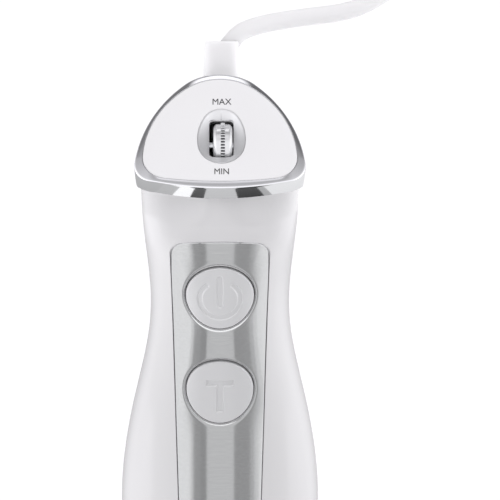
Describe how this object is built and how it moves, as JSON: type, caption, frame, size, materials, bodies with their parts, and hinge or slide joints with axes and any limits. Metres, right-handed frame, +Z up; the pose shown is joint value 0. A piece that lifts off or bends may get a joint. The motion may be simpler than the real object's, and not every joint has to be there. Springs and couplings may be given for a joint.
{
  "type": "immersion blender",
  "caption": "Hand-held stick blender with a sloping chrome-ringed top, speed wheel, push buttons on a steel panel, twist-off steel leg with a bell blade guard, and a mains lead.",
  "frame": {"origin": "centre of the blade guard's rim, on the surface that the blender stands on", "axes": "+Z up along the drive axis, -Y towards the control panel's side, +X to the right seen from the panel's side"},
  "size_m": [0.1753, 0.1721, 0.4148],
  "materials": {
    "white_shell": "glossy white moulded plastic",
    "chrome_trim": "polished chrome plating",
    "satin_silver": "satin silver metal finish",
    "panel_steel": "cross-brushed stainless sheet",
    "button_grey": "satin pale grey plastic",
    "lead_white": "soft white lead jacket",
    "plug_white": "moulded white plug",
    "pin_brass": "nickel plated brass",
    "tie_white": "soft tie strap",
    "board_green": "glass fibre board",
    "black_part": "black moulded plastic",
    "terminal_grey": "grey moulded plastic",
    "dome_rubber": "grey silicone rubber",
    "motor_iron": "stacked motor sheet",
    "copper": "lacquered copper wire and copper bars",
    "carbon": "pressed carbon",
    "shaft_steel": "ground steel",
    "screw_steel": "zinc plated steel",
    "seal_rubber": "black rubber",
    "cap_grey": "grey moulded plastic",
    "leg_steel": "satin stainless steel",
    "bush_white": "self-lubricating plastic",
    "blade_steel": "ground stainless blade steel"
  },
  "bodies": {
    "motor_unit": {"front_shell": "white_shell", "rear_shell": "white_shell", "shell_screws": "screw_steel", "chrome_ring": "chrome_trim", "top_plate": "white_shell", "dial_dish": "satin_silver", "steel_panel": "panel_steel", "control_board": "board_green", "board_switches": "black_part", "power_return_dome": "dome_rubber", "turbo_return_dome": "dome_rubber", "wheel_bracket": "black_part", "potentiometer": "black_part", "cord_boot": "lead_white", "terminal_block": "terminal_grey", "motor_stator": "motor_iron", "field_coils": "copper", "upper_bracket": "black_part", "lower_bracket": "black_part", "brush_holders": "black_part", "carbon_brushes": "carbon", "upper_bearing": "shaft_steel", "lower_bearing": "shaft_steel", "motor_screws": "screw_steel", "motor_cushion_upper": "seal_rubber", "motor_cushion_lower": "seal_rubber", "bottom_cap": "cap_grey", "cap_screws": "screw_steel", "power_cord": "lead_white", "cord_coil": "lead_white", "cord_tail": "lead_white", "cord_tie": "tie_white", "plug_body": "plug_white", "plug_pins": "pin_brass"},
    "power_button": {"power_button": "button_grey"},
    "turbo_button": {"turbo_button": "button_grey"},
    "speed_wheel": {"speed_wheel": "satin_silver", "wheel_spindle": "shaft_steel"},
    "rotor": {"motor_shaft": "shaft_steel", "armature_core": "motor_iron", "armature_winding": "copper", "commutator": "copper", "cooling_fan": "black_part", "drive_dog": "cap_grey"},
    "leg": {"leg_collar": "white_shell", "leg_tube": "leg_steel", "blade_guard": "leg_steel", "leg_upper_bush": "bush_white", "leg_lower_bush": "bush_white", "shaft_seal": "seal_rubber", "collar_seal": "seal_rubber"},
    "blade_rotor": {"drive_shaft": "shaft_steel", "driven_dog": "cap_grey", "blade": "blade_steel", "blade_nut": "blade_steel"}
  },
  "joints": [
    {"name": "power_press", "type": "slide", "parent": "motor_unit", "child": "power_button", "axis": [0, 1, 0], "range_m": [0, 0.0015], "stiffness_N_per_m": 900, "deforming": ["power_return_dome"]},
    {"name": "turbo_press", "type": "slide", "parent": "motor_unit", "child": "turbo_button", "axis": [0, 1, 0], "range_m": [0, 0.0015], "stiffness_N_per_m": 900, "deforming": ["turbo_return_dome"]},
    {"name": "speed_turn", "type": "hinge", "parent": "motor_unit", "child": "speed_wheel", "pos_m": [0, -0.00817, 0.3785], "axis": [1, 0, 0], "range_deg": [-130, 130]},
    {"name": "motor_spin", "type": "hinge", "parent": "motor_unit", "child": "rotor", "pos_m": [0, 0, 0.2], "axis": [0, 0, 1], "continuous": true},
    {"name": "leg_twist", "type": "hinge", "parent": "motor_unit", "child": "leg", "pos_m": [0, 0, 0.165], "axis": [0, 0, 1], "range_deg": [0, 25]},
    {"name": "blade_spin", "type": "hinge", "parent": "leg", "child": "blade_rotor", "pos_m": [0, 0, 0.05], "axis": [0, 0, 1], "continuous": true}
  ],
  "couplings": [
    {"joint": "blade_spin", "follows": "motor_spin", "ratio": 1}
  ]
}
